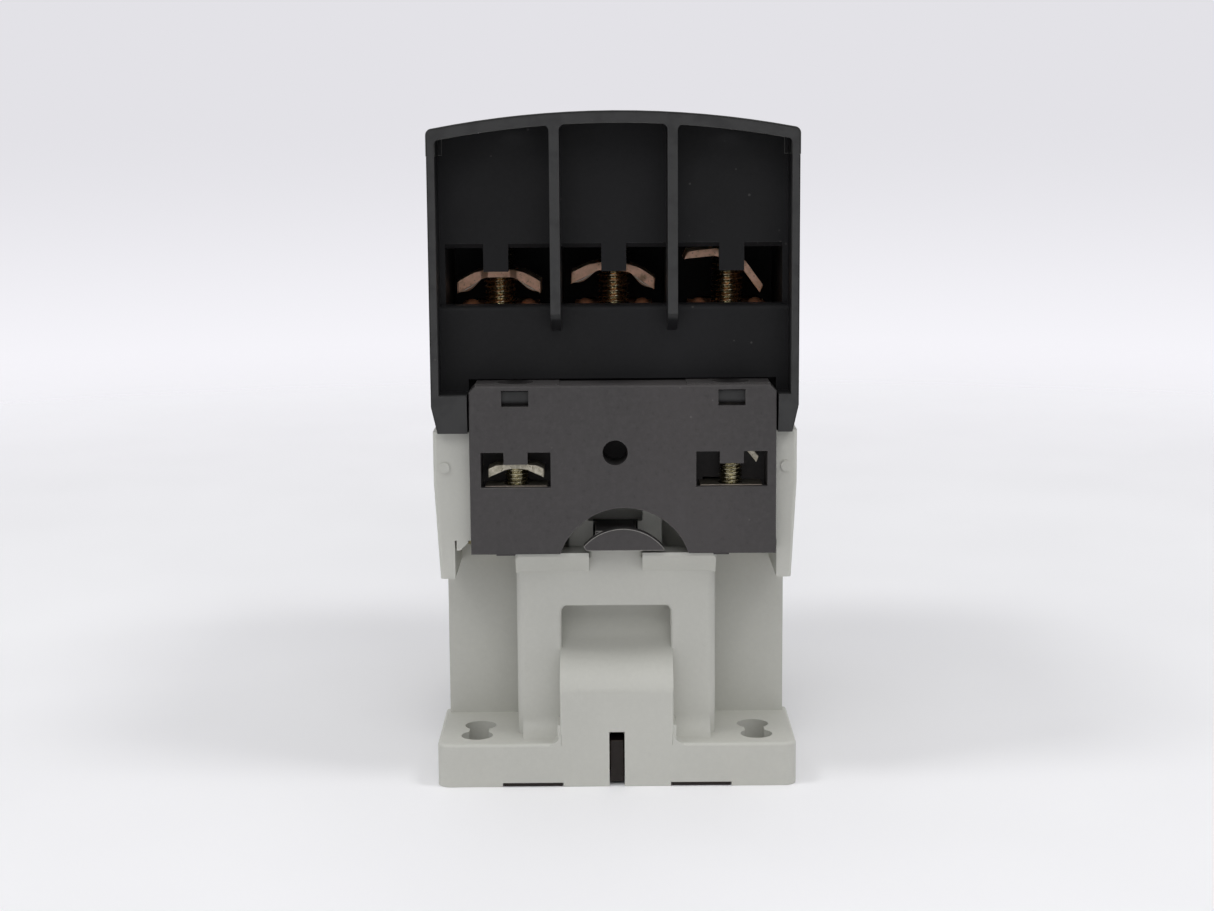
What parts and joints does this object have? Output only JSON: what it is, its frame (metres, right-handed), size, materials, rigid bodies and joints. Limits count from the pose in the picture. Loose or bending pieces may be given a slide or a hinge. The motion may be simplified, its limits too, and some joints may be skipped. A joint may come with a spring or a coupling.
{
  "type": "din rail contactor",
  "caption": "Power contactor for rail or screw mounting, with open end bays, wire clamps, a coil terminal block, a sprung rail latch and a full moving magnet and contact set.",
  "frame": {"origin": "centre of the mounting plane, under the middle of the box around the part", "axes": "+Z away from the mounting plane, +X across the width (along the rail), +Y from the coil terminal end to the other end"},
  "size_m": [0.054, 0.09, 0.1004],
  "materials": {
    "block_plastic": "warm dark grey moulded plastic",
    "bobbin_plastic": "glass-filled plastic",
    "carrier_plastic": "black thermoset plastic",
    "clamp_steel": "plated steel with a copper flash on its edges",
    "copper": "bare copper",
    "core_steel": "laminated silicon steel",
    "cover_plastic": "near-black moulded plastic",
    "dark_housing": "near-black moulded plastic, fine matt texture",
    "latch_plastic": "dark brown plastic",
    "light_housing": "light warm grey moulded plastic",
    "rubber": "damper rubber",
    "silver_tip": "silver alloy",
    "steel": "spring steel",
    "tinned": "tin-plated steel",
    "winding_copper": "enamelled copper wire",
    "zinc_yellow": "yellow zinc-plated steel"
  },
  "bodies": {
    "housing": {"arc_splitter_plates": "steel", "base_housing": "light_housing", "coil_bobbin": "bobbin_plastic", "coil_terminal_block": "block_plastic", "coil_terminal_plates": "tinned", "coil_winding": "winding_copper", "core_damper_pads": "rubber", "fixed_contact_tips": "silver_tip", "fixed_contacts_front": "copper", "fixed_contacts_rear": "copper", "fixed_magnet_core": "core_steel", "front_cover": "cover_plastic", "housing_screws": "steel", "pole_housing": "dark_housing", "rail_latch_springs": "steel", "return_springs": "steel", "shading_rings": "copper"},
    "contact_carrier": {"contact_carrier": "carrier_plastic", "magnet_armature": "core_steel", "armature_pin": "steel", "contact_springs": "steel"},
    "contact_bridge_1": {"contact_bridge_1": "copper", "bridge_tips_1": "silver_tip"},
    "contact_bridge_2": {"contact_bridge_2": "copper", "bridge_tips_2": "silver_tip"},
    "contact_bridge_3": {"contact_bridge_3": "copper", "bridge_tips_3": "silver_tip"},
    "rail_latch": {"rail_latch": "latch_plastic"},
    "release_tab": {"coil_block_release_tab": "block_plastic"},
    "power_screw_front_1": {"power_screw_front_1": "zinc_yellow"},
    "power_clamp_front_1": {"power_clamp_front_1": "clamp_steel"},
    "power_screw_front_2": {"power_screw_front_2": "zinc_yellow"},
    "power_clamp_front_2": {"power_clamp_front_2": "clamp_steel"},
    "power_screw_front_3": {"power_screw_front_3": "zinc_yellow"},
    "power_clamp_front_3": {"power_clamp_front_3": "clamp_steel"},
    "power_screw_rear_1": {"power_screw_rear_1": "zinc_yellow"},
    "power_clamp_rear_1": {"power_clamp_rear_1": "clamp_steel"},
    "power_screw_rear_2": {"power_screw_rear_2": "zinc_yellow"},
    "power_clamp_rear_2": {"power_clamp_rear_2": "clamp_steel"},
    "power_screw_rear_3": {"power_screw_rear_3": "zinc_yellow"},
    "power_clamp_rear_3": {"power_clamp_rear_3": "clamp_steel"},
    "coil_screw_left": {"coil_screw_left": "zinc_yellow"},
    "coil_clamp_left": {"coil_clamp_left": "tinned"},
    "coil_screw_right": {"coil_screw_right": "zinc_yellow"},
    "coil_clamp_right": {"coil_clamp_right": "tinned"}
  },
  "joints": [
    {"name": "carrier_pull_in", "type": "slide", "parent": "housing", "child": "contact_carrier", "axis": [0, 0, -1], "range_m": [0, 0.006], "stiffness_N_per_m": 600, "springref_m": -0.004, "deforming": ["return_springs"]},
    {"name": "bridge_1_overtravel", "type": "slide", "parent": "contact_carrier", "child": "contact_bridge_1", "axis": [0, 0, 1], "range_m": [0, 0.0021], "deforming": ["contact_springs"]},
    {"name": "bridge_2_overtravel", "type": "slide", "parent": "contact_carrier", "child": "contact_bridge_2", "axis": [0, 0, 1], "range_m": [0, 0.0021], "deforming": ["contact_springs"]},
    {"name": "bridge_3_overtravel", "type": "slide", "parent": "contact_carrier", "child": "contact_bridge_3", "axis": [0, 0, 1], "range_m": [0, 0.0021], "deforming": ["contact_springs"]},
    {"name": "rail_latch_slide", "type": "slide", "parent": "housing", "child": "rail_latch", "axis": [0, -1, 0], "range_m": [0, 0.004], "stiffness_N_per_m": 1000, "springref_m": -0.002, "deforming": ["rail_latch_springs"]},
    {"name": "release_tab_slide", "type": "slide", "parent": "housing", "child": "release_tab", "axis": [0, 0, 1], "range_m": [0, 0.0028]},
    {"name": "power_screw_front_1_drive", "type": "slide", "parent": "housing", "child": "power_screw_front_1", "axis": [0, 0, -1], "range_m": [0, 0.0066]},
    {"name": "power_clamp_front_1_press", "type": "slide", "parent": "housing", "child": "power_clamp_front_1", "axis": [0, 0, -1], "range_m": [0, 0.0019]},
    {"name": "power_screw_front_2_drive", "type": "slide", "parent": "housing", "child": "power_screw_front_2", "axis": [0, 0, -1], "range_m": [0, 0.006]},
    {"name": "power_clamp_front_2_press", "type": "slide", "parent": "housing", "child": "power_clamp_front_2", "axis": [0, 0, -1], "range_m": [0, 0.00234]},
    {"name": "power_screw_front_3_drive", "type": "slide", "parent": "housing", "child": "power_screw_front_3", "axis": [0, 0, -1], "range_m": [0, 0.0028]},
    {"name": "power_clamp_front_3_press", "type": "slide", "parent": "housing", "child": "power_clamp_front_3", "axis": [0, 0, -1], "range_m": [0, 0.00122]},
    {"name": "power_screw_rear_1_drive", "type": "slide", "parent": "housing", "child": "power_screw_rear_1", "axis": [0, 0, -1], "range_m": [0, 0.0066]},
    {"name": "power_clamp_rear_1_press", "type": "slide", "parent": "housing", "child": "power_clamp_rear_1", "axis": [0, 0, -1], "range_m": [0, 0.0019]},
    {"name": "power_screw_rear_2_drive", "type": "slide", "parent": "housing", "child": "power_screw_rear_2", "axis": [0, 0, -1], "range_m": [0, 0.0066]},
    {"name": "power_clamp_rear_2_press", "type": "slide", "parent": "housing", "child": "power_clamp_rear_2", "axis": [0, 0, -1], "range_m": [0, 0.0019]},
    {"name": "power_screw_rear_3_drive", "type": "slide", "parent": "housing", "child": "power_screw_rear_3", "axis": [0, 0, -1], "range_m": [0, 0.0066]},
    {"name": "power_clamp_rear_3_press", "type": "slide", "parent": "housing", "child": "power_clamp_rear_3", "axis": [0, 0, -1], "range_m": [0, 0.0019]},
    {"name": "coil_screw_left_drive", "type": "slide", "parent": "housing", "child": "coil_screw_left", "axis": [0, 0, -1], "range_m": [0, 0.0034]},
    {"name": "coil_clamp_left_press", "type": "slide", "parent": "housing", "child": "coil_clamp_left", "axis": [0, 0, -1], "range_m": [0, 0.00117]},
    {"name": "coil_screw_right_drive", "type": "slide", "parent": "housing", "child": "coil_screw_right", "axis": [0, 0, -1], "range_m": [0, 0.0031]},
    {"name": "coil_clamp_right_press", "type": "slide", "parent": "housing", "child": "coil_clamp_right", "axis": [0, 0, -1], "range_m": [0, 0.00262]}
  ],
  "couplings": [
    {"joint": "bridge_1_overtravel", "follows": "carrier_pull_in", "ratio": 0.34167},
    {"joint": "bridge_2_overtravel", "follows": "carrier_pull_in", "ratio": 0.34167},
    {"joint": "bridge_3_overtravel", "follows": "carrier_pull_in", "ratio": 0.34167},
    {"joint": "power_clamp_front_1_press", "follows": "power_screw_front_1_drive", "ratio": 0.28485},
    {"joint": "power_clamp_front_2_press", "follows": "power_screw_front_2_drive", "ratio": 0.38667},
    {"joint": "power_clamp_front_3_press", "follows": "power_screw_front_3_drive", "ratio": 0.42857},
    {"joint": "power_clamp_rear_1_press", "follows": "power_screw_rear_1_drive", "ratio": 0.28485},
    {"joint": "power_clamp_rear_2_press", "follows": "power_screw_rear_2_drive", "ratio": 0.28485},
    {"joint": "power_clamp_rear_3_press", "follows": "power_screw_rear_3_drive", "ratio": 0.28485},
    {"joint": "coil_clamp_left_press", "follows": "coil_screw_left_drive", "ratio": 0.33824},
    {"joint": "coil_clamp_right_press", "follows": "coil_screw_right_drive", "ratio": 0.83871}
  ]
}
